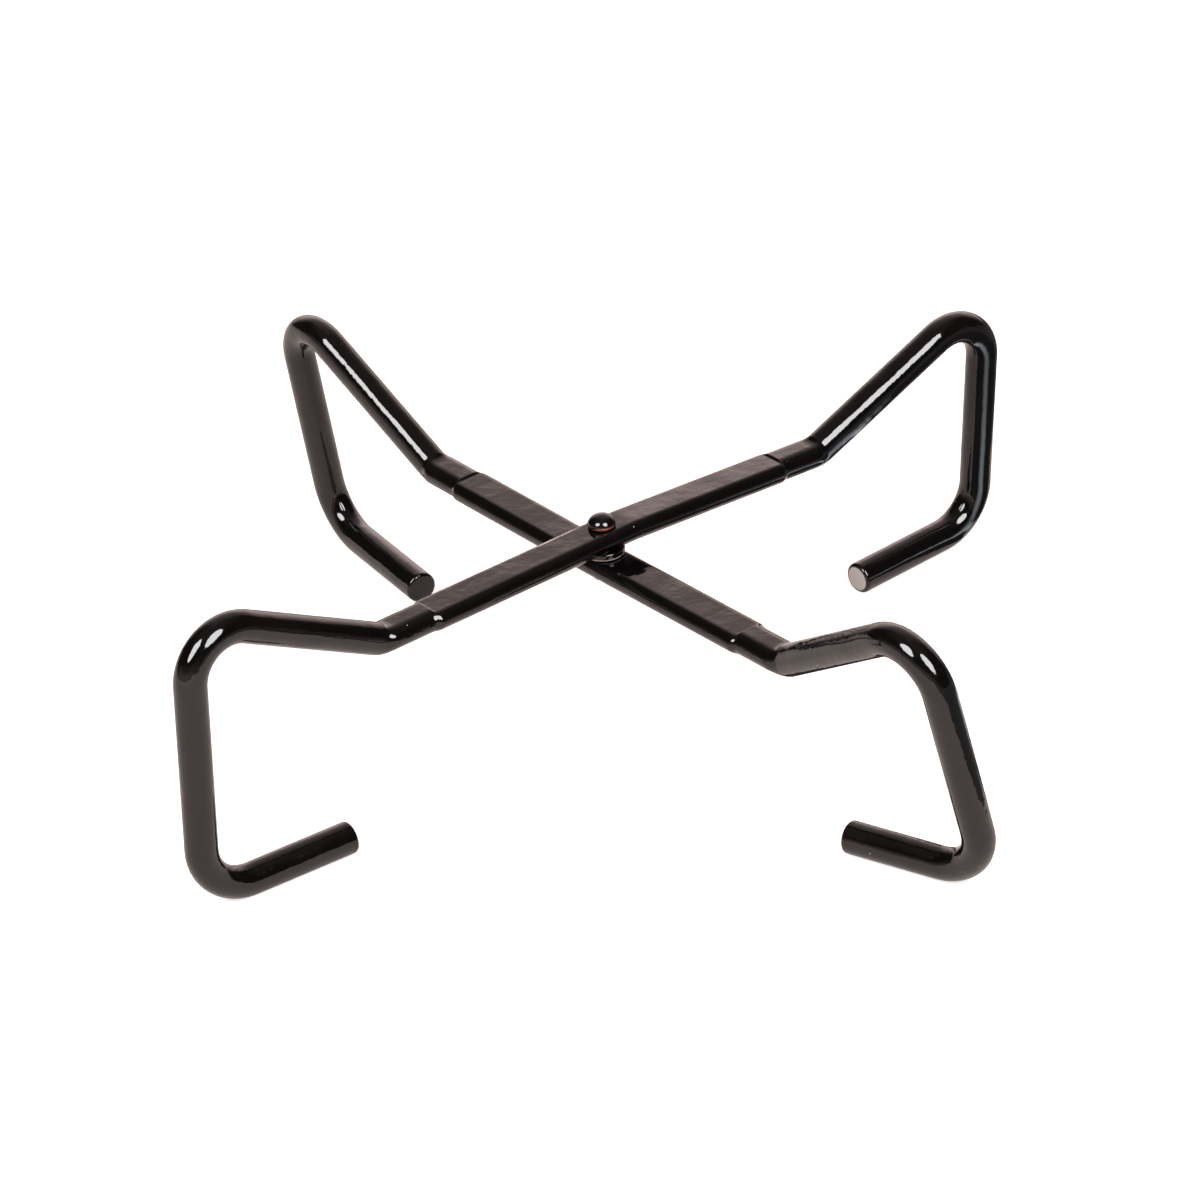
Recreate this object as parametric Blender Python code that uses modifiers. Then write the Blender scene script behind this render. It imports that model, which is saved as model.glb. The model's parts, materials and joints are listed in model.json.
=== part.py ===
"""Folding cross stand for a plate or bowl: two bent steel rods, pressed flat in the middle and riveted together.

Metres, +Z up. The origin is on the floor, straight below the rivet, and the rivet's axis is the hinge. The
stand is open: the upper rod lies along X, and the lower rod is turned clockwise from it, to lie along Y.
"""

from collections import namedtuple
from math import acos, ceil, cos, pi, radians, sin, sqrt, tan

import bmesh
import bpy
from mathutils import Vector

# The rod
ROD_DIAMETER = 0.005
ROD_SIDES = 16
ARC_STEP = radians(14)  # the most that one segment of a bend turns
FLOOR_FLAT = 0.0001  # depth of the narrow flat on which each foot stands

# Where the rod bends, measured out from the rivet and up from the floor to the middle of the rod
CROSSING_ANGLE = radians(90)
LOWER_BAR_HEIGHT = 0.0264
HUB_REACH = 0.004  # the bar is level for this far round the rivet
BAR_REACH = 0.042
SHOULDER_REACH = 0.0755
SHOULDER_HEIGHT = 0.0455
FOOT_REACH = 0.0765
TOE_REACH = 0.051
BAR_BEND_RADIUS = 0.004
SHOULDER_RADIUS = 0.007
FOOT_RADIUS = 0.0075

# The pressed bar
PRESSED_THICKNESS = 0.0032
PRESSED_WIDTH = 0.0072
PRESS_FADE = 0.003  # length over which the pressed section turns round again
PRESS_TO_BEND = 0.0015  # from the end of that length to the corner of the bend

# The pivot
SHANK_DIAMETER = 0.0024
HEAD_DIAMETER = 0.0043
HEAD_HEIGHT = 0.0019
TAIL_DIAMETER = 0.0042
TAIL_HEIGHT = 0.001
WASHER_DIAMETER = 0.0064
WASHER_THICKNESS = 0.0011
WASHER_EDGE = 0.0002
BORE_CLEARANCE = 0.00008  # between the shank and each bore, on the radius
STACK_GAP = 0.0001  # between each two faces stacked along the rivet
TURNED_STEPS = 32
DOME_STEPS = 7

# What each hand-bent arm adds to the sizes above: out from the rivet, sideways (anticlockwise from above) and up.
# Left and right are the upper rod's ends at -X and +X, back and front the lower rod's at +Y and -Y.
Bends = namedtuple("Bends", "bar_drop shoulder_out shoulder_side shoulder_up foot_out foot_side toe_out toe_side")
ARM_LEFT = Bends(0, -0.0015, 0, 0.002, 0.0005, 0, 0.001, 0.002)
ARM_RIGHT = Bends(0.0024, 0.0015, -0.001, -0.0025, -0.0015, 0.002, -0.0015, 0.001)
ARM_BACK = Bends(-0.0005, 0.0005, 0.0015, 0.0005, 0.0005, -0.004, -0.002, 0)
ARM_FRONT = Bends(0, -0.001, -0.002, 0, 0.0005, 0.006, 0.0035, -0.001)

ROD_RADIUS = ROD_DIAMETER / 2
FOOT_HEIGHT = ROD_RADIUS - FLOOR_FLAT
BORE_RADIUS = SHANK_DIAMETER / 2 + BORE_CLEARANCE
WASHER_BASE = LOWER_BAR_HEIGHT + PRESSED_THICKNESS / 2 + STACK_GAP
UPPER_BAR_HEIGHT = WASHER_BASE + WASHER_THICKNESS + STACK_GAP + PRESSED_THICKNESS / 2
HEAD_BASE = UPPER_BAR_HEIGHT + PRESSED_THICKNESS / 2 + STACK_GAP
TAIL_BASE = LOWER_BAR_HEIGHT - PRESSED_THICKNESS / 2 - STACK_GAP
PRESS_END = BAR_REACH - PRESS_TO_BEND
PRESS_START = PRESS_END - PRESS_FADE


def clear_scene():
    for obj in list(bpy.data.objects):
        bpy.data.objects.remove(obj, do_unlink=True)


def new_collection(name):
    collection = bpy.data.collections.new(name)
    bpy.context.scene.collection.children.link(collection)
    return collection


def new_material(name, colour, roughness, metallic):
    material = bpy.data.materials.new(name)
    material.use_nodes = True
    shader = material.node_tree.nodes["Principled BSDF"]
    shader.inputs["Base Color"].default_value = (*colour, 1)
    shader.inputs["Roughness"].default_value = roughness
    shader.inputs["Metallic"].default_value = metallic
    return material


def new_object(name, data, collection, material=None):
    obj = bpy.data.objects.new(name, data)
    collection.objects.link(obj)
    if material:
        data.materials.append(material)
    return obj


def bend_arc(before, corner, after, radius):
    """Points along the arc that rounds off a corner between two straight runs."""
    inward = (before - corner).normalized()
    outward = (after - corner).normalized()
    turn = pi - inward.angle(outward)
    tangent = radius * tan(turn / 2)
    centre = corner + (inward + outward).normalized() * sqrt(radius**2 + tangent**2)
    start = corner + inward * tangent - centre
    end = corner + outward * tangent - centre
    steps = ceil(turn / ARC_STEP)
    return [
        centre + (start * sin(turn * (1 - i / steps)) + end * sin(turn * i / steps)) / sin(turn)
        for i in range(steps + 1)
    ]


def arm_points(bar_height, bends, side):
    """The rod's middle line from the hub out to the toe. side is 1 for the arm along the rod's +X, else -1."""

    def place(out, sideways, height):
        return Vector((side * out, side * sideways, height))

    hub = place(HUB_REACH, 0, bar_height)
    bar_end = place(BAR_REACH, 0, bar_height - bends.bar_drop)
    shoulder = place(
        SHOULDER_REACH + bends.shoulder_out, bends.shoulder_side, SHOULDER_HEIGHT + bends.shoulder_up
    )
    foot = place(FOOT_REACH + bends.foot_out, bends.foot_side, FOOT_HEIGHT)
    toe = place(TOE_REACH + bends.toe_out, bends.toe_side, FOOT_HEIGHT)

    points = [hub]
    for part in range(4):
        reach = PRESS_START + PRESS_FADE * part / 3
        points.append(hub.lerp(bar_end, (reach - HUB_REACH) / (BAR_REACH - HUB_REACH)))
    points += bend_arc(hub, bar_end, shoulder, BAR_BEND_RADIUS)
    points += bend_arc(bar_end, shoulder, foot, SHOULDER_RADIUS)
    points += bend_arc(shoulder, foot, toe, FOOT_RADIUS)
    return points + [toe]


def round_rod(name, points):
    """A closed mesh of a round rod along the points."""
    curve = bpy.data.curves.new(name + "_path", "CURVE")
    curve.dimensions = "3D"
    curve.twist_mode = "MINIMUM"
    curve.bevel_depth = ROD_RADIUS
    curve.bevel_resolution = ROD_SIDES // 2 - 2
    curve.use_fill_caps = True
    spline = curve.splines.new("POLY")
    spline.points.add(len(points) - 1)
    for point, place in zip(spline.points, points):
        point.co = (*place, 1)
    path = bpy.data.objects.new(name + "_path", curve)
    bpy.context.scene.collection.objects.link(path)
    graph = bpy.context.evaluated_depsgraph_get()
    mesh = bpy.data.meshes.new_from_object(path.evaluated_get(graph))
    mesh.name = name
    bpy.data.objects.remove(path)
    bpy.data.curves.remove(curve)

    solid = bmesh.new()
    solid.from_mesh(mesh)
    bmesh.ops.remove_doubles(solid, verts=solid.verts, dist=1e-6)
    bmesh.ops.recalc_face_normals(solid, faces=solid.faces)
    solid.to_mesh(mesh)
    solid.free()
    return mesh


def press_bar(mesh, bar_height, bends_back, bends_front):
    """Presses the rod's middle between two flat dies: thinner, wider, and round again where the bar ends."""
    for vertex in mesh.vertices:
        x, y, z = vertex.co
        reach = abs(x)
        if reach >= PRESS_END or z > bar_height + ROD_DIAMETER or z < bar_height - ROD_DIAMETER:
            continue
        drop = bends_front.bar_drop if x > 0 else bends_back.bar_drop
        middle = bar_height - drop * max(0, reach - HUB_REACH) / (BAR_REACH - HUB_REACH)
        half = PRESSED_THICKNESS / 2
        flat = (z - middle) * PRESSED_THICKNESS / ROD_DIAMETER * sqrt(2)
        flat = max(-half, min(half, flat))
        share = min(1, (PRESS_END - reach) / PRESS_FADE)
        share = share * share * (3 - 2 * share)
        vertex.co.y = y + (y * PRESSED_WIDTH / ROD_DIAMETER - y) * share
        vertex.co.z = z + (middle + flat - z) * share


def cut(obj, cutter):
    modifier = obj.modifiers.new("Cut " + cutter.name, "BOOLEAN")
    modifier.operation = "DIFFERENCE"
    modifier.solver = "EXACT"
    modifier.object = cutter


def add_rod(name, bar_height, bends_back, bends_front, turn, collection, material, cutters):
    back = arm_points(bar_height, bends_back, -1)
    front = arm_points(bar_height, bends_front, 1)
    mesh = round_rod(name, back[::-1] + front)
    press_bar(mesh, bar_height, bends_back, bends_front)
    rod = new_object(name, mesh, collection, material)
    rod.rotation_euler.z = turn
    for cutter in cutters:
        cut(rod, cutter)
    shade_round(mesh)
    return rod


def shade_round(mesh):
    mesh.shade_smooth()
    mesh.set_sharp_from_angle(angle=radians(35))


def turned(name, profile, closed, height, collection, material):
    """A solid turned about Z from a profile that runs down its outer side, set at a height on the pivot."""
    mesh = bpy.data.meshes.new(name)
    count = len(profile)
    edges = [(i, (i + 1) % count) for i in range(count if closed else count - 1)]
    mesh.from_pydata([(radius, 0, z) for radius, z in profile], edges, [])
    obj = new_object(name, mesh, collection, material)
    obj.location.z = height
    screw = obj.modifiers.new("Turn", "SCREW")
    screw.steps = screw.render_steps = TURNED_STEPS
    screw.use_merge_vertices = True
    screw.merge_threshold = 1e-6
    screw.use_smooth_shade = True
    return obj


def dome(radius, height, base, up):
    """A dome's profile between the axis and its rim at the base, as part of a sphere. up is 1 or -1."""
    sphere = (radius**2 + height**2) / (2 * height)
    rim = acos((sphere - height) / sphere)
    angles = [rim * i / DOME_STEPS for i in range(DOME_STEPS + 1)]
    return [(sphere * sin(angle), base + up * (height - sphere + sphere * cos(angle))) for angle in angles]


def add_rivet(collection, material):
    """The rivet from its domed head down through both bars and the washer to its hammered tail."""
    tail_base = TAIL_BASE - HEAD_BASE
    head = dome(HEAD_DIAMETER / 2, HEAD_HEIGHT, 0, 1)
    shank = [(SHANK_DIAMETER / 2, 0), (SHANK_DIAMETER / 2, tail_base)]
    tail = dome(TAIL_DIAMETER / 2, TAIL_HEIGHT, tail_base, -1)
    return turned("pivot_rivet", head + shank + tail[::-1], False, HEAD_BASE, collection, material)


def add_washer(collection, material):
    """The spacer washer between the two bars, with its outer edges rounded over."""
    outer = WASHER_DIAMETER / 2
    half = WASHER_THICKNESS / 2
    profile = [
        (BORE_RADIUS, half),
        (outer - WASHER_EDGE, half),
        (outer, half - WASHER_EDGE),
        (outer, WASHER_EDGE - half),
        (outer - WASHER_EDGE, -half),
        (BORE_RADIUS, -half),
    ]
    return turned("spacer_washer", profile, True, WASHER_BASE + half, collection, material)


def add_cutters(collection):
    """The drill for both bores, and the block that levels the feet."""
    bpy.ops.mesh.primitive_cylinder_add(vertices=TURNED_STEPS, radius=BORE_RADIUS, depth=4 * UPPER_BAR_HEIGHT)
    drill = bpy.context.object
    drill.name = "bore_drill"
    bpy.ops.mesh.primitive_cube_add(size=1)
    floor = bpy.context.object
    floor.name = "floor_block"
    floor.scale = (4 * FOOT_REACH, 4 * FOOT_REACH, 2 * ROD_DIAMETER)
    floor.location.z = -ROD_DIAMETER
    for cutter in (drill, floor):
        for old in cutter.users_collection:
            old.objects.unlink(cutter)
        collection.objects.link(cutter)
        cutter.hide_render = True
        cutter.display_type = "WIRE"
    return drill, floor


def build():
    clear_scene()
    stand = new_collection("plate_display_stand")
    cutters = add_cutters(new_collection("cutters"))
    enamel = new_material("black_enamel", (0.012, 0.011, 0.012), 0.12, 0)
    copper = new_material("painted_copper", (0.06, 0.025, 0.015), 0.18, 0.6)
    add_rod("upper_rod", UPPER_BAR_HEIGHT, ARM_LEFT, ARM_RIGHT, 0, stand, enamel, cutters)
    add_rod("lower_rod", LOWER_BAR_HEIGHT, ARM_BACK, ARM_FRONT, -CROSSING_ANGLE, stand, enamel, cutters)
    add_rivet(stand, copper)
    add_washer(stand, enamel)


build()
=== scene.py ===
# %% [markdown]
# # A folding cross stand for a plate
#
# The stand is two lengths of round steel wire. A press flattens the middle of each one, and a bending
# jig then gives it two shoulders, two legs and two feet. The flats cross, one on the other with a washer
# between them, and one rivet holds them, so that the stand folds like a pair of scissors. Gloss black
# enamel covers it.
#
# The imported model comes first. It is the fixed frame: it says where the hinge is, and how large
# everything is.

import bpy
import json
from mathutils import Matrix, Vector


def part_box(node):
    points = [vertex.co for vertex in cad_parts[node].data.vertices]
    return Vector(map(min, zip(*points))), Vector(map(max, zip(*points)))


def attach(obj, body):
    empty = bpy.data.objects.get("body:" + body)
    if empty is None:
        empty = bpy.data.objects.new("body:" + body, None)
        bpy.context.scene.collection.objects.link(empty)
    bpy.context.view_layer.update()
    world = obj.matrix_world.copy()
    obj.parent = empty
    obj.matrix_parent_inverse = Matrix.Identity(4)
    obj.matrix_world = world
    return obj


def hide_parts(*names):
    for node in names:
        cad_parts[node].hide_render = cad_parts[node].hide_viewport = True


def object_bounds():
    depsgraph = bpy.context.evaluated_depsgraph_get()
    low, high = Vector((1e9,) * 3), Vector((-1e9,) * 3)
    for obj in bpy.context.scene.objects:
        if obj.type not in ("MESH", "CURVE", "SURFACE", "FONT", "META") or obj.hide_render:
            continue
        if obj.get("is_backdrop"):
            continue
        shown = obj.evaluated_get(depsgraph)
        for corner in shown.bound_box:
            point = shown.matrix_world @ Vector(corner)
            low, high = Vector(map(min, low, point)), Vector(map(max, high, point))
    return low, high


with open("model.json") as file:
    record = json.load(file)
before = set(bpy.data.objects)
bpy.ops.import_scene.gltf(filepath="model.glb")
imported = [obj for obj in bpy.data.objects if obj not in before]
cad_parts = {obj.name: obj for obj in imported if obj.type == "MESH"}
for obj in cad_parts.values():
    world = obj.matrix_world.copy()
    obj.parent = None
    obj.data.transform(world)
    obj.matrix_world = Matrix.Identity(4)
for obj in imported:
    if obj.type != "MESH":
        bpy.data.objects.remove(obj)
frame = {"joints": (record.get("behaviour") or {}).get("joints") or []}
cad_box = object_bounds()

# %% Modules and helpers
import json
from collections import namedtuple
from math import ceil, cos, pi, radians, sin, sqrt, tan

import bmesh
import bpy
from mathutils import Quaternion, Vector

MM = 0.001
scene = bpy.context.scene


def link_object(name, data):
    made = bpy.data.objects.new(name, data)
    scene.collection.objects.link(made)
    return made


def add_node(tree, kind, inputs=None, **settings):
    """A node with its settings, and its inputs set to a value or linked from another node's output."""
    node = tree.nodes.new(kind)
    for name, value in settings.items():
        setattr(node, name, value)
    for key, value in (inputs or {}).items():
        if isinstance(value, bpy.types.NodeSocket):
            tree.links.new(value, node.inputs[key])
        else:
            node.inputs[key].default_value = value
    return node


def do_math(tree, operation, *values):
    return add_node(tree, "ShaderNodeMath", dict(enumerate(values)), operation=operation).outputs[0]


def do_vector_math(tree, operation, *values):
    return add_node(tree, "ShaderNodeVectorMath", dict(enumerate(values)), operation=operation).outputs[0]


def blend_between(tree, value, low, high, to_low=0.0, to_high=1.0, curve="SMOOTHSTEP"):
    """value, mapped from the range low to high onto to_low to to_high, and held at either end."""
    inputs = {"Value": value, "From Min": low, "From Max": high, "To Min": to_low, "To Max": to_high}
    return add_node(tree, "ShaderNodeMapRange", inputs, interpolation_type=curve).outputs[0]


def separate(tree, vector):
    """The X, Y and Z of a vector."""
    return add_node(tree, "ShaderNodeSeparateXYZ", {0: vector}).outputs


def dot(tree, vector, direction):
    inputs = {0: vector, 1: tuple(direction)}
    return add_node(tree, "ShaderNodeVectorMath", inputs, operation="DOT_PRODUCT").outputs["Value"]


def attribute(tree, name):
    return add_node(tree, "ShaderNodeAttribute", attribute_name=name).outputs["Fac"]


def new_group(name, kind, inputs, outputs):
    """An empty node group with named sockets. Each input is a name, a socket type and a default or None."""
    tree = bpy.data.node_groups.new(name, kind)
    for label, socket_type, default in inputs:
        socket = tree.interface.new_socket(label, in_out="INPUT", socket_type=socket_type)
        if default is not None:
            socket.default_value = default
    for label, socket_type in outputs:
        tree.interface.new_socket(label, in_out="OUTPUT", socket_type=socket_type)
    return tree, tree.nodes.new("NodeGroupInput").outputs, tree.nodes.new("NodeGroupOutput").inputs


# %% [markdown]
# ## Sizes
#
# The design's own sizes, in metres, measured out from the rivet and up from the floor to the middle of
# the rod. The frame gives the hinge, and with it the place of the rivet. Each arm was bent by hand, so
# each one adds its own small differences.

# %% Sizes of the rods
ROD_RADIUS = 2.5 * MM
FOOT_HEIGHT = ROD_RADIUS - 0.1 * MM
LOWER_BAR_HEIGHT = 26.4 * MM
UPPER_BAR_HEIGHT = 30.9 * MM
HUB_REACH = 4 * MM
BAR_REACH = 42 * MM
SHOULDER_REACH = 75.5 * MM
SHOULDER_HEIGHT = 45.5 * MM
FOOT_REACH = 76.5 * MM
TOE_REACH = 51 * MM
BAR_BEND_RADIUS = 4 * MM
SHOULDER_RADIUS = 7 * MM
FOOT_RADIUS = 7.5 * MM
PRESSED_THICKNESS = 3.2 * MM
PRESSED_WIDTH = 7.2 * MM
SHALLOW_THICKNESS = 3.8 * MM
SHALLOW_WIDTH = 6.2 * MM
BORE_RADIUS = 1.28 * MM

Bends = namedtuple(
    "Bends", "bar_drop shoulder_out shoulder_side shoulder_up foot_out foot_side toe_out toe_side"
)
ARM_LEFT = Bends(0, -0.0015, 0, 0.002, 0.0005, 0, 0.001, 0.002)
ARM_RIGHT = Bends(0.0024, 0.0015, -0.001, -0.0025, -0.0015, 0.002, -0.0015, 0.001)
ARM_BACK = Bends(-0.0005, 0.0005, 0.0015, 0.0005, 0.0005, -0.004, -0.002, 0)
ARM_FRONT = Bends(0, -0.001, -0.002, 0, 0.0005, 0.006, 0.0035, -0.001)

hinge = frame["joints"][0]
print("hinge", hinge["name"], "at", hinge["pos_m"], "range", hinge["range_deg"])

# %% [markdown]
# ## The middle line of a rod
#
# A bent rod is a round section that follows a line. The line is straight between the bends and an arc
# in each bend, so a few corners and radii describe it all. The points lie close together where the shape
# changes fast: in the bends, at the step that the press leaves, and at the cut ends.

# %% Points along one arm
RING_SPACING = 0.6 * MM
ARC_STEP = radians(3)
STEP_REACH = 33 * MM
STEP_LENGTH = 0.45 * MM
END_ROUNDING = 0.55 * MM


def bend_arc(before, corner, after, radius):
    """Points along the arc that rounds off a corner between two straight runs."""
    inward = (before - corner).normalized()
    outward = (after - corner).normalized()
    turn = pi - inward.angle(outward)
    tangent = radius * tan(turn / 2)
    centre = corner + (inward + outward).normalized() * sqrt(radius**2 + tangent**2)
    start = corner + inward * tangent - centre
    end = corner + outward * tangent - centre
    steps = ceil(turn / ARC_STEP)
    return [
        centre + (start * sin(turn * (1 - i / steps)) + end * sin(turn * i / steps)) / sin(turn)
        for i in range(steps + 1)
    ]


def fill_run(points, goal, spacing=RING_SPACING):
    """Adds points up to the goal, evenly spaced from the last point."""
    start = points[-1]
    steps = max(1, ceil((goal - start).length / spacing))
    points += [start.lerp(goal, (i + 1) / steps) for i in range(steps)]


def arm_points(bar_height, bends, side):
    """The middle line from the rivet out to the toe. side is 1 for the arm along the rod's +X, else -1."""

    def place(out, sideways, height):
        return Vector((side * out, side * sideways, height))

    hub = place(HUB_REACH, 0, bar_height)
    bar_end = place(BAR_REACH, 0, bar_height - bends.bar_drop)
    shoulder = place(
        SHOULDER_REACH + bends.shoulder_out, bends.shoulder_side, SHOULDER_HEIGHT + bends.shoulder_up
    )
    foot = place(FOOT_REACH + bends.foot_out, bends.foot_side, FOOT_HEIGHT)
    toe = place(TOE_REACH + bends.toe_out, bends.toe_side, FOOT_HEIGHT)

    points = [place(0, 0, bar_height)]
    fill_run(points, hub)
    for reach, spacing in (
        (STEP_REACH - STEP_LENGTH, RING_SPACING),
        (STEP_REACH + 2 * STEP_LENGTH, STEP_LENGTH / 6),
    ):
        fill_run(points, hub.lerp(bar_end, (reach - HUB_REACH) / (BAR_REACH - HUB_REACH)), spacing)
    for arc in (
        bend_arc(hub, bar_end, shoulder, BAR_BEND_RADIUS),
        bend_arc(bar_end, shoulder, foot, SHOULDER_RADIUS),
        bend_arc(shoulder, foot, toe, FOOT_RADIUS),
    ):
        fill_run(points, arc[0])
        points += arc[1:]
    fill_run(points, toe.lerp(foot, 1.3 * END_ROUNDING / (foot - toe).length))
    fill_run(points, toe, END_ROUNDING / 8)
    return points


def middle_line(name, bar_height, back, front):
    """The rod's middle line, from toe to toe, as a curve object."""
    points = arm_points(bar_height, back, -1)[:0:-1] + arm_points(bar_height, front, 1)
    curve = bpy.data.curves.new(name, "CURVE")
    curve.dimensions = "3D"
    curve.twist_mode = "MINIMUM"
    spline = curve.splines.new("POLY")
    spline.points.add(len(points) - 1)
    for point, at in zip(spline.points, points):
        point.co = (*at, 1)
        depth = END_ROUNDING - min((at - points[0]).length, (at - points[-1]).length, END_ROUNDING)
        point.radius = 1 - (END_ROUNDING - sqrt(END_ROUNDING**2 - depth**2)) / ROD_RADIUS
    print(name, len(points), "points")
    return link_object(name, curve)


upper_line = middle_line("upper_rod_enamelled", UPPER_BAR_HEIGHT, ARM_LEFT, ARM_RIGHT)
lower_line = middle_line("lower_rod_enamelled", LOWER_BAR_HEIGHT, ARM_BACK, ARM_FRONT)

# %% [markdown]
# ## The enamel
#
# Every piece was dipped or sprayed after riveting, so one finish covers all: a hard black gloss that
# pulls flat but keeps a faint ripple, with dust caught in it, a few chips, and rubbed patches. The ripple,
# the dust, the chips and the rubbing are a shader group, because the rivet and the washer use them too.
# It puts out masks and a height only, and each material adds its own colours.
#
# A spot is a round mark in some cells of a pattern. Its three numbers are the cells in a metre, the share
# of the cells that hold one at most, and its size in cells.

# %% A shader group for ripple, dust, chips and rubbing
NUMBER = "NodeSocketFloat"
RIPPLE_SIZE = 1.6 * MM
SWELL_SCALE, GRAIN_SCALE = 0.28, 6
DUST_SCALE, DUST_SHARE, DUST_SIZE = 1100, 0.06, 0.14
CHIP_SCALE, CHIP_SHARE, CHIP_SIZE = 260, 0.1, 0.07
RUB_SCALE, RUB_FROM, RUB_FULL = 60, 0.5, 0.78
SWELL_HEIGHT, GRAIN_HEIGHT, DUST_HEIGHT, CHIP_DEPTH = 3.0, 0.05, 0.5, 1.5

wear_tree, wear_in, wear_out = new_group(
    "Enamel wear",
    "ShaderNodeTree",
    (
        ("Ripple Size", NUMBER, RIPPLE_SIZE),
        ("Dust", NUMBER, 0.3),
        ("Chips", NUMBER, 0.2),
        ("Rub", NUMBER, 0.3),
    ),
    (("Height", NUMBER), ("Dust", NUMBER), ("Rub", NUMBER)),
)


def noise(tree, place, scale, detail=2.0, roughness=0.5):
    inputs = {"Vector": place, "Scale": scale, "Detail": detail, "Roughness": roughness}
    return add_node(tree, "ShaderNodeTexNoise", inputs).outputs["Fac"]


def spots(tree, place, scale, kept, size):
    """Small round spots: a share of the cells, kept, holds one, up to size across in cells."""
    cells = add_node(tree, "ShaderNodeTexVoronoi", {"Vector": place, "Scale": scale}, feature="F1")
    chance = add_node(tree, "ShaderNodeSeparateColor", {0: cells.outputs["Color"]}).outputs
    radius = do_math(tree, "MULTIPLY", chance[1], size)
    inside = do_math(tree, "LESS_THAN", cells.outputs["Distance"], radius)
    return do_math(tree, "MULTIPLY", inside, do_math(tree, "LESS_THAN", chance[0], kept))


where = add_node(wear_tree, "ShaderNodeTexCoord").outputs["Object"]
ripple_scale = do_math(wear_tree, "DIVIDE", 1.0, wear_in["Ripple Size"])
ripple = noise(wear_tree, where, ripple_scale, 1.5)
swell = noise(wear_tree, where, do_math(wear_tree, "MULTIPLY", ripple_scale, SWELL_SCALE), 0)
grain = noise(wear_tree, where, do_math(wear_tree, "MULTIPLY", ripple_scale, GRAIN_SCALE), 1)
dusty = do_math(wear_tree, "MULTIPLY", wear_in["Dust"], DUST_SHARE)
dust = spots(wear_tree, where, DUST_SCALE, dusty, DUST_SIZE)
chipped = do_math(wear_tree, "MULTIPLY", wear_in["Chips"], CHIP_SHARE)
chips = spots(wear_tree, where, CHIP_SCALE, chipped, CHIP_SIZE)
rub = blend_between(wear_tree, noise(wear_tree, where, RUB_SCALE, 4, 0.65), RUB_FROM, RUB_FULL)

height = ripple
for mask, lifted in (
    (swell, SWELL_HEIGHT), (grain, GRAIN_HEIGHT), (dust, DUST_HEIGHT), (chips, -CHIP_DEPTH)
):
    height = do_math(wear_tree, "MULTIPLY_ADD", mask, lifted, height)
wear_tree.links.new(height, wear_out["Height"])
wear_tree.links.new(dust, wear_out["Dust"])
wear_tree.links.new(do_math(wear_tree, "MULTIPLY", rub, wear_in["Rub"]), wear_out["Rub"])
print("group", wear_tree.name, [item.name for item in wear_tree.interface.items_tree])

# %% [markdown]
# The enamel on the rods also carries painted light. Brown along the far upper edge of the pressed flats is
# a painted reflection, and a pale line along the same edge just beside the rivet is a painted highlight.
# The cut end of one toe of the upper rod is painted light grey, a painted reflection.


# %% Helpers for materials
def mix_colour(tree, share, first, second):
    node = add_node(tree, "ShaderNodeMix", {"Factor": share}, data_type="RGBA")
    colours = [socket for socket in node.inputs if socket.type == "RGBA"]
    for socket, value in zip(colours, (first, second)):
        if isinstance(value, bpy.types.NodeSocket):
            tree.links.new(value, socket)
        else:
            socket.default_value = (*value, 1)
    return [socket for socket in node.outputs if socket.type == "RGBA"][0]


def new_material(name, roughness=0.1, metallic=0.0, **values):
    """A Principled material, with the values that are the same all over set on the shader's own sockets."""
    material = bpy.data.materials.new(name)
    material.use_nodes = True
    shader = material.node_tree.nodes["Principled BSDF"]
    shader.inputs["Roughness"].default_value = roughness
    shader.inputs["Metallic"].default_value = metallic
    for socket, value in values.items():
        shader.inputs[socket.replace("_", " ")].default_value = value
    return material, material.node_tree, shader


def add_group(tree, group, **values):
    node = tree.nodes.new("ShaderNodeGroup")
    node.node_tree = group
    for socket, value in values.items():
        node.inputs[socket.replace("_", " ")].default_value = value
    return node


def bump(tree, shader, height, distance):
    inputs = {"Height": height, "Strength": 1.0, "Distance": distance}
    tree.links.new(add_node(tree, "ShaderNodeBump", inputs).outputs[0], shader.inputs["Normal"])


# %% Gloss black enamel
BLACK = (0.0012, 0.001, 0.001)
BROWN_BLACK = (0.0075, 0.005, 0.004)
DUST_GREY = (0.30, 0.28, 0.26)
# Light grey painted on the cut end of one toe, as a painted reflection.
CUT_END_REFLECTION_GREY = (0.34, 0.31, 0.295)
COPPER = (0.36, 0.125, 0.055)
# Pale grey for painted highlights along edges, brown for a painted reflection along the flats' far upper
# edge, and the stretch beside the rivet where the pale highlight lies.
EDGE_HIGHLIGHT_GREY = (0.42, 0.37, 0.34)
EDGE_REFLECTION_BROWN = (0.095, 0.052, 0.038)
EDGE_HIGHLIGHT_FROM = (-16 * MM, -13 * MM)
EDGE_HIGHLIGHT_TO = (-3 * MM, -5 * MM)
EDGE_SCALE, EDGE_DETAIL, EDGE_GRAIN = 170, 4, 0.6
BROWN_FROM, BROWN_FULL, BROWN_SHARE = 0.42, 0.66, 0.7
PALE_FROM, PALE_FULL = 0.3, 0.5
ENAMEL_ROUGHNESS, RUB_ROUGHNESS = 0.07, 0.10
DUST_ROUGHNESS, EDGE_ROUGHNESS, CUT_ROUGHNESS = 0.6, 0.3, 0.38
RIPPLE_DEPTH = 0.05 * MM

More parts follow.
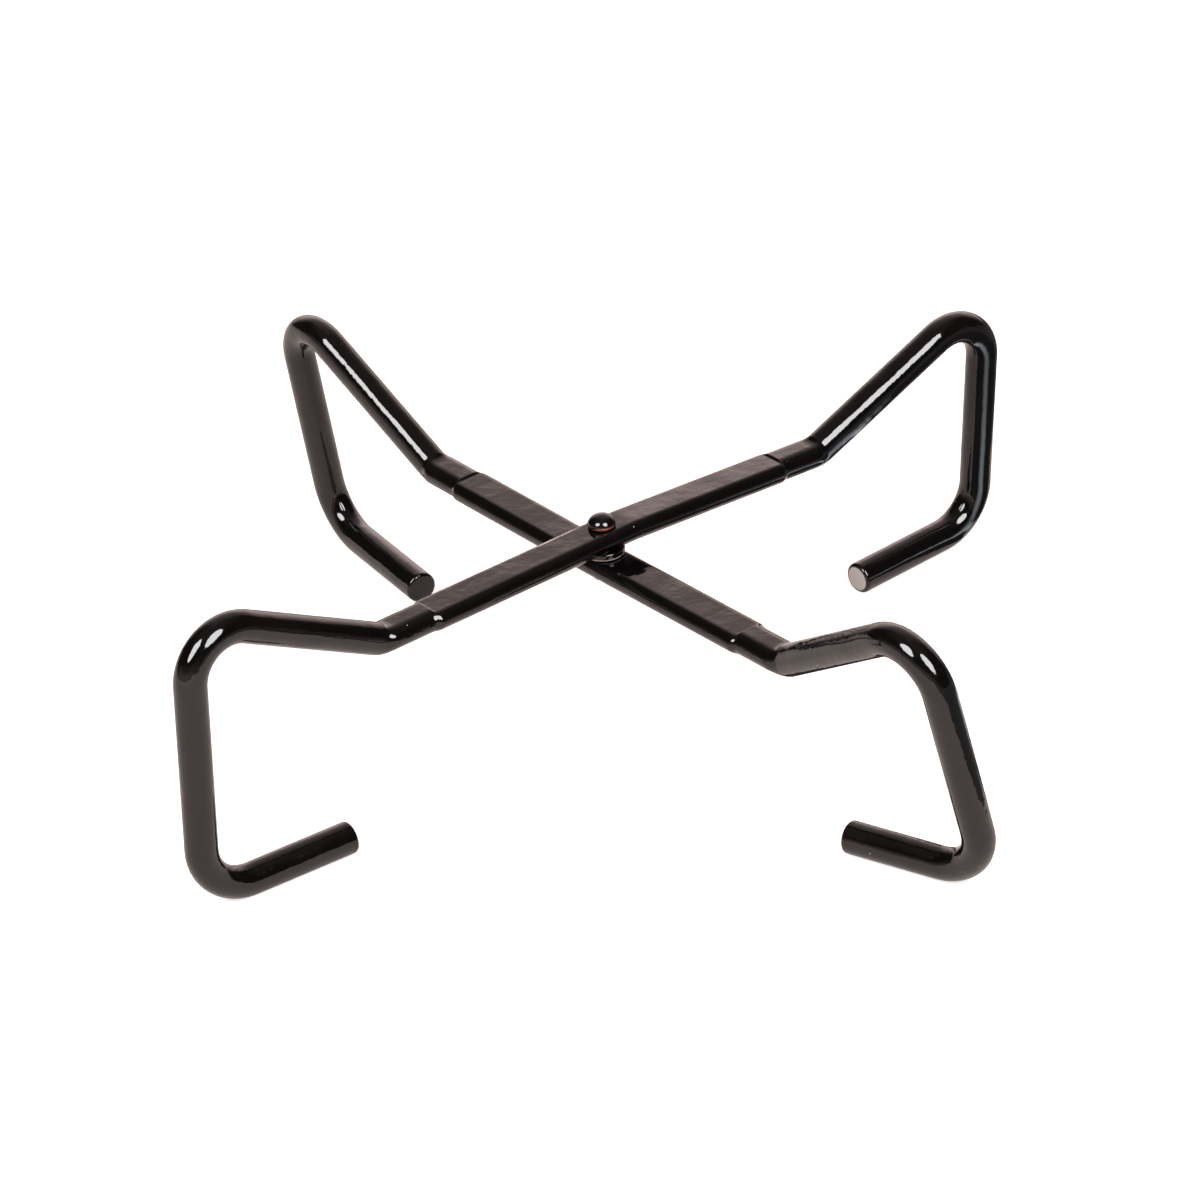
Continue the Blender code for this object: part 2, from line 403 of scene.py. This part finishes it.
enamel, tree, shader = new_material("gloss_black_enamel", IOR=1.5)
wear = add_group(tree, wear_tree)
rubbed, dust = wear.outputs["Rub"], wear.outputs["Dust"]
cut_end, edge = attribute(tree, "cut_end"), attribute(tree, "pressed_edge")
where = add_node(tree, "ShaderNodeTexCoord").outputs["Object"]
edge_noise = noise(tree, where, EDGE_SCALE, EDGE_DETAIL, EDGE_GRAIN)
along = separate(tree, where)[0]
# A pale painted highlight along the far upper edge of the flat, beside the rivet.
edge_highlight = edge
for mask in (
    blend_between(tree, along, *EDGE_HIGHLIGHT_FROM),
    blend_between(tree, along, *EDGE_HIGHLIGHT_TO),
    blend_between(tree, edge_noise, PALE_FROM, PALE_FULL),
):
    edge_highlight = do_math(tree, "MULTIPLY", edge_highlight, mask)
# A brown painted reflection along the far upper edge of the flats.
brown = blend_between(tree, edge_noise, BROWN_FROM, BROWN_FULL, 0.0, BROWN_SHARE)
edge_reflection = do_math(tree, "MULTIPLY", edge, brown)

colour = mix_colour(tree, rubbed, BLACK, BROWN_BLACK)
# Rubbing and dust are the enamel's own; the edge colours and the light cut end are painted light.
for mask, shown in (
    (edge_reflection, EDGE_REFLECTION_BROWN), (edge_highlight, EDGE_HIGHLIGHT_GREY), (cut_end, CUT_END_REFLECTION_GREY), (dust, DUST_GREY)
):
    colour = mix_colour(tree, mask, colour, shown)
tree.links.new(colour, shader.inputs["Base Color"])

roughness = do_math(tree, "MULTIPLY_ADD", rubbed, RUB_ROUGHNESS, ENAMEL_ROUGHNESS)
for mask, rough in ((dust, DUST_ROUGHNESS), (edge_reflection, EDGE_ROUGHNESS), (cut_end, CUT_ROUGHNESS)):
    roughness = do_math(tree, "MAXIMUM", roughness, do_math(tree, "MULTIPLY", mask, rough))
tree.links.new(roughness, shader.inputs["Roughness"])
bump(tree, shader, wear.outputs["Height"], RIPPLE_DEPTH)
print("material", enamel.name, len(tree.nodes), "nodes")

# %% [markdown]
# ## Two pressed rods
#
# Each rod is a circle swept along its middle line. The press then squeezes the middle between two flat
# dies, and the metal spreads sideways as it thins, with one step where a second, narrower die went deeper.
# Both are rules about how far a point lies from the middle line, so a Geometry Nodes tree can do them in
# order: sweep, press, drill for the rivet, finish. One tree serves both rods, and its inputs hold the
# sizes. It also leaves two marks for the enamel: the edges of the flats, and the cut ends.

# %% Geometry nodes: sweep and press
FADE_START, FADE_END = 40.2 * MM, 42.6 * MM
WAVINESS = 0.03 * MM
WAVE_SCALE = 95.0
SQUEEZE = 0.85
EDGE_SOFTNESS = 0.06 * MM
EDGE_WIDTH = 0.16 * MM

rod_tree, rod_in, rod_out = new_group(
    "Pressed rod",
    "GeometryNodeTree",
    (
        ("Middle Line", "NodeSocketGeometry", None),
        ("Radius", NUMBER, ROD_RADIUS),
        ("Sides", "NodeSocketInt", 64),
        ("Deep Thickness", NUMBER, PRESSED_THICKNESS),
        ("Deep Width", NUMBER, PRESSED_WIDTH),
        ("Shallow Thickness", NUMBER, SHALLOW_THICKNESS),
        ("Shallow Width", NUMBER, SHALLOW_WIDTH),
        ("Fade Start", NUMBER, FADE_START),
        ("Fade End", NUMBER, FADE_END),
        ("Waviness", NUMBER, WAVINESS),
        ("Seed", NUMBER, 0.0),
        ("Bore Radius", NUMBER, BORE_RADIUS),
        # Whether the front cut end gets a painted reflection.
        ("Painted Lit End", NUMBER, 0.0),
        ("Turn", NUMBER, 0.0),
        ("Finish", "NodeSocketMaterial", None),
    ),
    (("Rod", "NodeSocketGeometry"),),
)
tree = rod_tree
at = add_node(tree, "GeometryNodeInputPosition").outputs[0]
middle = add_node(
    tree, "GeometryNodeCaptureAttribute", {"Geometry": rod_in["Middle Line"]}, domain="POINT"
)
middle.capture_items.new("VECTOR", "Middle")
tree.links.new(at, middle.inputs["Middle"])
section = add_node(
    tree, "GeometryNodeCurvePrimitiveCircle", {"Resolution": rod_in["Sides"], "Radius": rod_in["Radius"]}
)
sweep = add_node(
    tree,
    "GeometryNodeCurveToMesh",
    {
        "Curve": middle.outputs["Geometry"],
        "Profile Curve": section.outputs[0],
        "Scale": add_node(tree, "GeometryNodeInputRadius").outputs[0],
        "Fill Caps": True,
    },
)

centre = middle.outputs["Middle"]
offset = do_vector_math(tree, "SUBTRACT", at, centre)
offset_xyz = separate(tree, offset)
reach = do_math(tree, "ABSOLUTE", separate(tree, centre)[0])
share = blend_between(tree, reach, rod_in["Fade Start"], rod_in["Fade End"], 1.0, 0.0)
thickness = blend_between(
    tree, reach, STEP_REACH, STEP_REACH + STEP_LENGTH,
    rod_in["Deep Thickness"], rod_in["Shallow Thickness"],
)
width = blend_between(
    tree, reach, STEP_REACH - STEP_LENGTH, STEP_REACH + 2 * STEP_LENGTH,
    rod_in["Deep Width"], rod_in["Shallow Width"],
)
half = do_math(tree, "MULTIPLY", thickness, 0.5)
squeezed = do_math(tree, "MULTIPLY", offset_xyz[2], SQUEEZE)
limited = add_node(
    tree, "ShaderNodeMath", {0: do_math(tree, "ABSOLUTE", squeezed), 1: half, 2: EDGE_SOFTNESS},
    operation="SMOOTH_MIN",
).outputs[0]
limited = do_math(tree, "MINIMUM", limited, half)
flattened = do_math(tree, "MULTIPLY", limited, do_math(tree, "SIGN", offset_xyz[2]))
spread = do_math(tree, "DIVIDE", width, do_math(tree, "MULTIPLY", rod_in["Radius"], 2.0))
pressed = add_node(
    tree,
    "ShaderNodeCombineXYZ",
    {0: offset_xyz[0], 1: do_math(tree, "MULTIPLY", offset_xyz[1], spread), 2: flattened},
).outputs[0]
mixed = add_node(tree, "ShaderNodeMix", {"Factor": share}, data_type="VECTOR")
ends = [socket for socket in mixed.inputs if socket.type == "VECTOR"][-2:]
for value, socket in zip((offset, pressed), ends):
    tree.links.new(value, socket)
shaped = [socket for socket in mixed.outputs if socket.type == "VECTOR"][0]

off_edge = do_math(tree, "ABSOLUTE", do_math(tree, "SUBTRACT", do_math(tree, "ABSOLUTE", squeezed), half))
edge = do_math(tree, "MULTIPLY", blend_between(tree, off_edge, EDGE_WIDTH, 0.0), share)
for outward in (offset_xyz[1], offset_xyz[2]):
    edge = do_math(tree, "MULTIPLY", edge, do_math(tree, "GREATER_THAN", outward, 0.0))
edged = add_node(
    tree,
    "GeometryNodeStoreNamedAttribute",
    {"Geometry": sweep.outputs[0], "Name": "pressed_edge", "Value": edge},
    data_type="FLOAT", domain="POINT",
)

wave_at = add_node(tree, "ShaderNodeCombineXYZ", {0: rod_in["Seed"], 1: rod_in["Seed"], 2: 0.0}).outputs[0]
wave_at = do_vector_math(tree, "ADD", at, wave_at)
wave = noise(tree, wave_at, WAVE_SCALE, 1.0)
shrink = do_math(tree, "DIVIDE", do_math(tree, "MULTIPLY", wave, rod_in["Waviness"]), rod_in["Radius"])
shrink = add_node(tree, "ShaderNodeVectorMath", {0: shaped, "Scale": shrink}, operation="SCALE").outputs[0]
shaped = do_vector_math(tree, "SUBTRACT", do_vector_math(tree, "ADD", centre, shaped), shrink)
floored = do_vector_math(tree, "MAXIMUM", shaped, (-1.0, -1.0, 0.0))
moved = add_node(tree, "GeometryNodeSetPosition", {"Geometry": edged.outputs[0], "Position": floored})
print("sweep and press", len(tree.nodes), "nodes")

# %% Geometry nodes: drill, mark the cut ends and finish
BORE_SIDES = 48
CAP_AREA = 2 * MM * MM

drill = add_node(
    tree,
    "GeometryNodeMeshCylinder",
    {"Vertices": BORE_SIDES, "Radius": rod_in["Bore Radius"], "Depth": 4 * UPPER_BAR_HEIGHT},
)
bored = add_node(
    tree, "GeometryNodeMeshBoolean", {"Mesh 1": moved.outputs[0], "Mesh 2": drill.outputs["Mesh"]},
    operation="DIFFERENCE", solver="EXACT",
)
face_area = add_node(tree, "GeometryNodeInputMeshFaceArea").outputs[0]
is_cap = do_math(tree, "GREATER_THAN", face_area, CAP_AREA)
at_front = do_math(tree, "GREATER_THAN", separate(tree, at)[0], 0.0)
# The front cut end is marked for a light grey painted reflection.
lit_cap = do_math(tree, "MULTIPLY", do_math(tree, "MULTIPLY", is_cap, at_front), rod_in["Painted Lit End"])
marked = add_node(
    tree,
    "GeometryNodeStoreNamedAttribute",
    {"Geometry": bored.outputs["Mesh"], "Name": "cut_end", "Value": lit_cap},
    data_type="FLOAT", domain="FACE",
)
turned_round = add_node(
    tree,
    "GeometryNodeTransform",
    {
        "Geometry": marked.outputs[0],
        "Rotation": add_node(tree, "ShaderNodeCombineXYZ", {2: rod_in["Turn"]}).outputs[0],
    },
)
smooth = add_node(tree, "GeometryNodeSetShadeSmooth", {"Geometry": turned_round.outputs[0]})
realised = add_node(tree, "GeometryNodeRealizeInstances", {"Geometry": smooth.outputs[0]})
finished = add_node(
    tree, "GeometryNodeSetMaterial", {"Geometry": realised.outputs[0], "Material": rod_in["Finish"]}
)
tree.links.new(finished.outputs[0], rod_out["Rod"])
print("tree", tree.name, len(tree.nodes), "nodes")


# %% Bake each rod to a plain mesh
SHARP_ANGLE = radians(38)


def triangle_count(mesh):
    return sum(len(face.vertices) - 2 for face in mesh.polygons)


def bake_tree(source, tree, inputs):
    """Runs the tree on the source curve with named inputs, and returns a plain mesh object."""
    modifier = source.modifiers.new(tree.name, "NODES")
    modifier.node_group = tree
    sockets = {item.name: item.identifier for item in tree.interface.items_tree if item.in_out == "INPUT"}
    for name, value in inputs.items():
        modifier[sockets[name]] = value
    graph = bpy.context.evaluated_depsgraph_get()
    mesh = bpy.data.meshes.new_from_object(source.evaluated_get(graph))
    name, old = source.name, source.data
    source.modifiers.remove(modifier)
    bpy.data.objects.remove(source)
    bpy.data.curves.remove(old)
    mesh.name = name
    mesh.set_sharp_from_angle(angle=SHARP_ANGLE)
    made = link_object(name, mesh)
    print(name, len(mesh.polygons), "faces,", triangle_count(mesh), "triangles")
    return made


# The upper rod's front cut end gets the painted reflection.
upper_rod = bake_tree(upper_line, rod_tree, {"Seed": 3.0, "Painted Lit End": 1.0, "Finish": enamel})
lower_rod = bake_tree(lower_line, rod_tree, {"Seed": 8.0, "Turn": radians(-90), "Finish": enamel})

# %% [markdown]
# ## The rivet and the washer
#
# A rivet is a turned shape: a domed head, a shank and a tail that was hammered over a set. A profile
# turned round the axis gives all of it as one closed skin. Geometry Nodes would bring nothing here, since
# nothing repeats, so the rings are laid down one by one. The profile runs from the top of the axis to its
# bottom.


# %% A turned skin
ON_AXIS = 0.0001 * MM


def turned_skin(name, profile, closed, sides=96):
    """A mesh turned about Z from (radius, height) points. closed joins the last ring to the first."""
    skin = bmesh.new()
    rings = []
    for radius, z in profile:
        if radius < ON_AXIS:
            rings.append([skin.verts.new((0, 0, z))] * sides)
            continue
        angles = [2 * pi * i / sides for i in range(sides)]
        rings.append([skin.verts.new((radius * cos(a), radius * sin(a), z)) for a in angles])
    pairs = list(zip(rings, rings[1:])) + ([(rings[-1], rings[0])] if closed else [])
    for upper, lower in pairs:
        for i in range(sides):
            j = (i + 1) % sides
            corners = []
            for vertex in (upper[i], lower[i], lower[j], upper[j]):
                if vertex not in corners:
                    corners.append(vertex)
            skin.faces.new(corners)
    bmesh.ops.recalc_face_normals(skin, faces=skin.faces)
    mesh = bpy.data.meshes.new(name)
    skin.to_mesh(mesh)
    skin.free()
    mesh.shade_smooth()
    mesh.set_sharp_from_angle(angle=SHARP_ANGLE)
    print(name, triangle_count(mesh), "triangles")
    return link_object(name, mesh)


def dome_profile(radius, height, edge, base, up, steps=26, edge_steps=6):
    """From the axis out over a dome, round its edge and in to the base. up is 1 or -1."""
    crown = height - edge
    points = []
    for i in range(steps + 1):
        angle = pi / 2 * i / steps
        points.append((radius * sin(angle), base + up * (edge + crown * cos(angle))))
    for i in range(1, edge_steps + 1):
        angle = pi / 2 * i / edge_steps
        points.append((radius - edge * (1 - cos(angle)), base + up * (edge - edge * sin(angle))))
    return points


# %% Rivet and washer
STACK_GAP = 0.1 * MM
SHANK_RADIUS = 1.2 * MM
HEAD_RADIUS = 2.15 * MM
HEAD_EDGE = 0.35 * MM
TAIL_RADIUS = 2.1 * MM
TAIL_EDGE = 0.3 * MM
WASHER_RADIUS = 3.2 * MM
WASHER_ROUNDING = 0.25 * MM

rivet_low, rivet_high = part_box("pivot_rivet")
head_base = UPPER_BAR_HEIGHT + PRESSED_THICKNESS / 2 + STACK_GAP
tail_base = LOWER_BAR_HEIGHT - PRESSED_THICKNESS / 2 - STACK_GAP
head = dome_profile(HEAD_RADIUS, rivet_high.z - head_base, HEAD_EDGE, head_base, 1)
tail = dome_profile(TAIL_RADIUS, tail_base - rivet_low.z, TAIL_EDGE, tail_base, -1)
shank = [(SHANK_RADIUS, head_base), (SHANK_RADIUS, tail_base)]
rivet = turned_skin("rivet_enamelled", head + shank + tail[::-1], False)

washer_low, washer_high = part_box("spacer_washer")


def washer_profile(outer, bore, low, high, rounding, steps=6):
    corner = [pi / 2 * i / steps for i in range(steps + 1)]
    top = [(outer - rounding * (1 - sin(a)), high - rounding * (1 - cos(a))) for a in corner]
    bottom = [(outer - rounding * (1 - cos(a)), low + rounding * (1 - sin(a))) for a in corner]
    return [(bore, high), *top, *bottom, (bore, low)]


washer = turned_skin(
    "washer_enamelled",
    washer_profile(WASHER_RADIUS, BORE_RADIUS, washer_low.z, washer_high.z, WASHER_ROUNDING),
    True,
)

# %% [markdown]
# ## Worn enamel and a painted highlight on the rivet and the washer
#
# The rivet is copper. The enamel is thin on the rim of its head, so the copper shows there as a broken
# brown band. The washer has a pale line painted along its lower edge as a highlight, and a little copper at
# its right. Height on the piece says where an edge is, and noise breaks it up.

# %% Enamel worn through in places
THIN_ROUGHNESS, BARE_ROUGHNESS = 0.08, 0.2
THIN_RIPPLE_SIZE, THIN_RIPPLE_DEPTH = 0.9 * MM, 0.03 * MM


def worn_material(name, bare_metal_and_highlight):
    """Black enamel with worn patches and painted highlights where the given list says, with shares, colours
    and how metallic.
    """
    material, tree, shader = new_material(name, IOR=1.5)
    wear = add_group(tree, wear_tree, Ripple_Size=THIN_RIPPLE_SIZE, Dust=0.2, Rub=1.0)
    where = add_node(tree, "ShaderNodeTexCoord").outputs["Object"]
    colour = mix_colour(tree, wear.outputs["Rub"], BLACK, BROWN_BLACK)
    worn = metallic = 0.0
    for share, bare_and_highlight_colour, is_metal in bare_metal_and_highlight(tree, where):
        colour = mix_colour(tree, share, colour, bare_and_highlight_colour)
        worn = do_math(tree, "MAXIMUM", worn, share)
        metallic = do_math(tree, "MULTIPLY_ADD", share, is_metal, metallic)
    colour = mix_colour(tree, wear.outputs["Dust"], colour, DUST_GREY)
    tree.links.new(colour, shader.inputs["Base Color"])
    tree.links.new(metallic, shader.inputs["Metallic"])
    roughness = do_math(tree, "MULTIPLY_ADD", worn, BARE_ROUGHNESS, THIN_ROUGHNESS)
    tree.links.new(roughness, shader.inputs["Roughness"])
    bump(tree, shader, wear.outputs["Height"], THIN_RIPPLE_DEPTH)
    return material


def band(tree, where, low, high):
    """1 at the height midway between low and high, and 0 at both."""
    away = do_math(tree, "ABSOLUTE", do_math(tree, "SUBTRACT", separate(tree, where)[2], (low + high) / 2))
    return blend_between(tree, away, (high - low) / 2, 0.15 * (high - low))


def patches(tree, where, scale, low, high):
    return blend_between(tree, noise(tree, where, scale, 3, 0.6), low, high)


def share_of(tree, area, broken, most):
    """A mask from an area, broken up by patches, that reaches most."""
    return do_math(tree, "MULTIPLY", do_math(tree, "MULTIPLY", area, broken), most)


# %% Where the rivet and the washer are worn
RIVET_BAND = 0.6 * MM
# Heights of the painted highlight along the washer's lower edge.
WASHER_HIGHLIGHT_BAND = (0.02 * MM, 0.34 * MM)
WASHER_RIGHT = (0.8, -0.6, 0.0)
RIGHT_FROM, RIGHT_FULL = 2.6 * MM, 3.2 * MM
COPPER_METALLIC = 0.85


def rivet_wear(tree, where):
    rim = band(tree, where, head_base, head_base + RIVET_BAND)
    return [(share_of(tree, rim, patches(tree, where, 700, 0.33, 0.6), 0.8), COPPER, COPPER_METALLIC)]


def washer_wear_and_highlight(tree, where):
    # A pale line along the lower edge is a painted highlight; the copper at the right is worn enamel.
    rim = band(tree, where, *(washer_low.z + height for height in WASHER_HIGHLIGHT_BAND))
    right = blend_between(tree, dot(tree, where, WASHER_RIGHT), RIGHT_FROM, RIGHT_FULL)
    return [
        (share_of(tree, rim, patches(tree, where, 600, 0.3, 0.45), 0.7), EDGE_HIGHLIGHT_GREY, 0.0),
        (share_of(tree, right, patches(tree, where, 1100, 0.4, 0.6), 0.4), COPPER, COPPER_METALLIC),
    ]


rivet.data.materials.append(worn_material("enamel_worn_to_copper", rivet_wear))
washer.data.materials.append(worn_material("thin_enamel_washer", washer_wear_and_highlight))
print("materials", rivet.data.materials[0].name, washer.data.materials[0].name)

# %% [markdown]
# ## Tie the pieces to the frame
#
# The upper rod turns on the hinge. The rivet and the washer stay with the lower rod.

# %% Bodies, nodes and slots
PIECES = (
    (upper_rod, "upper_frame", "upper_rod", "black_enamel"),
    (lower_rod, "lower_frame", "lower_rod", "black_enamel"),
    (rivet, "lower_frame", "pivot_rivet", "painted_copper"),
    (washer, "lower_frame", "spacer_washer", "black_enamel"),
)
for piece, body, node, slot in PIECES:
    low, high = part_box(node)
    corners = [vertex.co for vertex in piece.data.vertices]
    off = [min(c[i] for c in corners) - low[i] for i in range(3)]
    off += [max(c[i] for c in corners) - high[i] for i in range(3)]
    print(piece.name, "against", node, "in mm:", [round(value / MM, 3) for value in off])
    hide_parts(node)
    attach(piece, body)

# %% [markdown]
# ## The studio
#
# A gloss black object is drawn by what it mirrors. It stands on a white table. A bright back wall lights
# the tops of the bars, the dark room round the camera gives the black bands, and two soft boxes high up on
# either side give the long streaks along the arms. The camera sees the table as white, while the rods
# mirror it a little darker and warmer.

# %% Table top
TABLE_SIZE = 12.0
TABLE_COLOUR = (0.60, 0.52, 0.49, 1)
TABLE_LIFT = 0.65

bpy.ops.mesh.primitive_grid_add(x_subdivisions=2, y_subdivisions=2, size=TABLE_SIZE)
table_top = bpy.context.object
table_top.name = "table_top"
pale, tree, shader = new_material("white_table", roughness=0.9)
shader.inputs["Base Color"].default_value = TABLE_COLOUR
shader.inputs["Specular IOR Level"].default_value = 0.0
shader.inputs["Emission Color"].default_value = (1.0, 1.0, 1.0, 1)
seen = add_node(tree, "ShaderNodeLightPath").outputs["Is Camera Ray"]
tree.links.new(do_math(tree, "MULTIPLY", seen, TABLE_LIFT), shader.inputs["Emission Strength"])
table_top.data.materials.append(pale)
table_top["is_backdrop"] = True
print(table_top.name, TABLE_SIZE, "m across")

# %% Camera
AIM = Vector((-2.70, -1.54, 21.51)) * MM
AZIMUTH, ELEVATION, ROLL = radians(-36.45), radians(29.68), radians(-5.05)
DISTANCE = 0.7984
LENS = 160.0

away = Vector((sin(AZIMUTH) * cos(ELEVATION), -cos(AZIMUTH) * cos(ELEVATION), sin(ELEVATION)))
camera = link_object("camera", bpy.data.cameras.new("camera"))
camera.data.lens = LENS
camera.data.sensor_width = 36.0
camera.data.clip_start, camera.data.clip_end = 0.05, 50.0
camera.location = AIM + away * DISTANCE
camera.rotation_mode = "QUATERNION"
camera.rotation_quaternion = (-away).to_track_quat("-Z", "Y") @ Quaternion((0, 0, 1), ROLL)
scene.camera = camera
print("camera at", [round(value, 4) for value in camera.location])

# %% [markdown]
# ## Two aids on the table
#
# A black card covers the table from a little to the right of the stand. A rod mirrors its edge as a crisp
# dark line down the right-hand legs. A smaller black sheet lies round the far-right foot, with a soft
# bright stripe that runs outward from it. That leg mirrors the sheet as a black side, and the stripe as a
# pale line that fades toward the top. Only mirrored light sees either of them, so they hide nothing.


# %% Helpers for the studio
def toward(azimuth, elevation):
    """The direction at an azimuth from the camera's side, and an elevation, in degrees."""
    a, e = AZIMUTH + radians(azimuth), radians(elevation)
    return Vector((sin(a) * cos(e), -cos(a) * cos(e), sin(e)))


def mirrored_only(piece):
    """Hides a piece from all but mirrored light."""
    for visible in ("visible_camera", "visible_diffuse", "visible_shadow", "visible_transmission"):
        setattr(piece, visible, False)


# %% Black card
CARD_START, CARD_END = 0.083, 1.5
CARD_HEIGHT = 0.2 * MM
CARD_COLOUR = (0.08, 0.075, 0.075, 1)

card_mesh = bpy.data.meshes.new("black_card")
side, front = toward(90, 0), toward(0, 0)
card_corners = (
    (CARD_START, -CARD_END), (CARD_END, -CARD_END), (CARD_END, CARD_END), (CARD_START, CARD_END)
)
card_points = [side * u + front * v + Vector((0, 0, CARD_HEIGHT)) for u, v in card_corners]
card_mesh.from_pydata(card_points, [], [(3, 2, 1, 0)])
black_card = link_object("black_card", card_mesh)
card_black, tree, shader = new_material("card_black", roughness=0.9)
shader.inputs["Base Color"].default_value = CARD_COLOUR
card_mesh.materials.append(card_black)
mirrored_only(black_card)
black_card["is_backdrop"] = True

# %% Sheet round the far-right foot
SHEET_FROM, SHEET_TO, SHEET_STEP = -34, 112, 4
SHEET_RADII = (3.5 * MM, 20 * MM, 40 * MM, 60 * MM, 80 * MM)
SHEET_HEIGHT = 0.4 * MM
SHEET_COLOUR = (0.02, 0.02, 0.022, 1)
STRIPE_AT, STRIPE_HALF = 34, 21
STRIPE_NEAR, STRIPE_FAR = 3.9, 0.9
STRIPE_COLOUR = (0.82, 0.92, 1.0, 1)


def leg_sheet(name, foot):
    """A black sheet that lies round one foot, with a bright stripe. Its angles are in degrees."""
    angles = range(SHEET_FROM, SHEET_TO, SHEET_STEP)
    count = len(SHEET_RADII)
    points = [foot + toward(angle, 0) * radius for angle in angles for radius in SHEET_RADII]
    corners = [i * count + j for i in range(len(angles) - 1) for j in range(count - 1)]
    mesh = bpy.data.meshes.new(name)
    mesh.from_pydata(points, [], [(c, c + 1, c + count + 1, c + count) for c in corners])
    glow = mesh.attributes.new("glow", "FLOAT", "POINT")
    for i, angle in enumerate(angles):
        across = max(0.0, cos(pi / 2 * min(1.0, abs(angle - STRIPE_AT) / STRIPE_HALF)))
        for j in range(count):
            outward = j / (count - 1)
            glow.data[i * count + j].value = across * (STRIPE_NEAR + (STRIPE_FAR - STRIPE_NEAR) * outward)
    material, tree, shader = new_material(name, roughness=0.9)
    shader.inputs["Base Color"].default_value = SHEET_COLOUR
    shader.inputs["Emission Color"].default_value = STRIPE_COLOUR
    tree.links.new(attribute(tree, "glow"), shader.inputs["Emission Strength"])
    mesh.materials.append(material)
    return link_object(name, mesh)


right_foot = Vector((FOOT_REACH + ARM_RIGHT.foot_out, ARM_RIGHT.foot_side / 2, SHEET_HEIGHT))
sheet = leg_sheet("leg_sheet", right_foot)
mirrored_only(sheet)
sheet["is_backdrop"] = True
print("aids", black_card.name, sheet.name, "with", len(sheet.data.polygons), "faces")

# %% Soft boxes
LIGHT_DISTANCE = 1.5
BOX_LUMINANCE = 17


def soft_box(name, azimuth, elevation, width, height, luminance):
    """An oval soft box facing the stand. Its power follows from its size and its luminance."""
    light = bpy.data.lights.new(name, "AREA")
    light.shape = "ELLIPSE"
    light.size, light.size_y = width, height
    light.energy = luminance * pi * (pi / 4 * width * height)
    made = link_object(name, light)
    made.location = toward(azimuth, elevation) * LIGHT_DISTANCE
    made.rotation_mode = "QUATERNION"
    made.rotation_quaternion = made.location.to_track_quat("Z", "Y")
    print(name, "power", round(light.energy, 2))


soft_box("soft_box_left", -46, 46, 0.70, 0.92, BOX_LUMINANCE)
soft_box("soft_box_right", 33, 42, 0.78, 1.05, BOX_LUMINANCE)

# %% [markdown]
# ## The room
#
# The rest of the room is a world shader, which gives a brightness for each direction. The wall behind the
# stand is brightest where the tops of the bars mirror it, low down, and it fades upward. There is a faint
# glow overhead and one low down at the left, and the rest is dark. A rod mirrors this dark as its black
# bands, and the wall as its grey ones. The camera itself sees white.
#
# Rise is the sine of the elevation, from 0 at the horizon to 1 overhead.

# %% The room
WARM = (1.0, 0.80, 0.765)
WALL_AZIMUTH, WALL_LEVEL = 172, 1.3
WALL_EDGE, WALL_FULL = 0.62, 1.02
FOOT_RISE, MIDDLE_RISE, TOP_RISE = 0.38, 0.5, 0.95
FOOT_LEVEL, MIDDLE_LEVEL, TOP_LEVEL = 1.45, 0.78, 0.2
OVERHEAD_RISE, OVERHEAD_LOW, OVERHEAD_HIGH = 0.6, 0.05, 0.19
GLOW_AZIMUTH, GLOW_EDGE, GLOW_FULL = -40, 0.3, 0.95
GLOW_RISE, GLOW_LEVEL = 0.4, 0.7

world = bpy.data.worlds.new("studio")
scene.world = world
world.use_nodes = True
tree = world.node_tree
background = tree.nodes["Background"]
direction = add_node(tree, "ShaderNodeTexCoord").outputs["Generated"]
rise = separate(tree, direction)[2]
level_direction = do_vector_math(tree, "NORMALIZE", do_vector_math(tree, "MULTIPLY", direction, (1, 1, 0)))


def facing(azimuth):
    """How nearly a direction's azimuth is the given one: 1 for the same, -1 for the opposite."""
    return dot(tree, level_direction, toward(azimuth, 0))


wall = blend_between(tree, facing(WALL_AZIMUTH), WALL_EDGE, WALL_FULL, 0.0, WALL_LEVEL)
for fade in (
    (FOOT_RISE, MIDDLE_RISE, FOOT_LEVEL, MIDDLE_LEVEL),
    (MIDDLE_RISE, TOP_RISE, 1.0, TOP_LEVEL),
):
    wall = do_math(tree, "MULTIPLY", wall, blend_between(tree, rise, *fade, "LINEAR"))
overhead = blend_between(tree, rise, OVERHEAD_RISE, TOP_RISE, OVERHEAD_LOW, OVERHEAD_HIGH)
left_glow = blend_between(tree, facing(GLOW_AZIMUTH), GLOW_EDGE, GLOW_FULL)
low_down = blend_between(tree, rise, GLOW_RISE, 0.0, 0.0, GLOW_LEVEL)
left_glow = do_math(tree, "MULTIPLY", left_glow, low_down)
level = do_math(tree, "ADD", do_math(tree, "ADD", wall, overhead), left_glow)
seen = add_node(tree, "ShaderNodeLightPath").outputs["Is Camera Ray"]
tree.links.new(do_math(tree, "MAXIMUM", level, seen), background.inputs["Strength"])
background.inputs["Color"].default_value = (*WARM, 1)
scene.view_settings.view_transform = "Standard"
print("world", world.name, len(tree.nodes), "nodes")

# %% [markdown]
# ## Print the sizes

# %% Sizes
visual_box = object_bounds()
for label, low, high in (("frame", *cad_box), ("visual", *visual_box)):
    print(label, "size in mm", [round((high[i] - low[i]) / MM, 2) for i in range(3)])
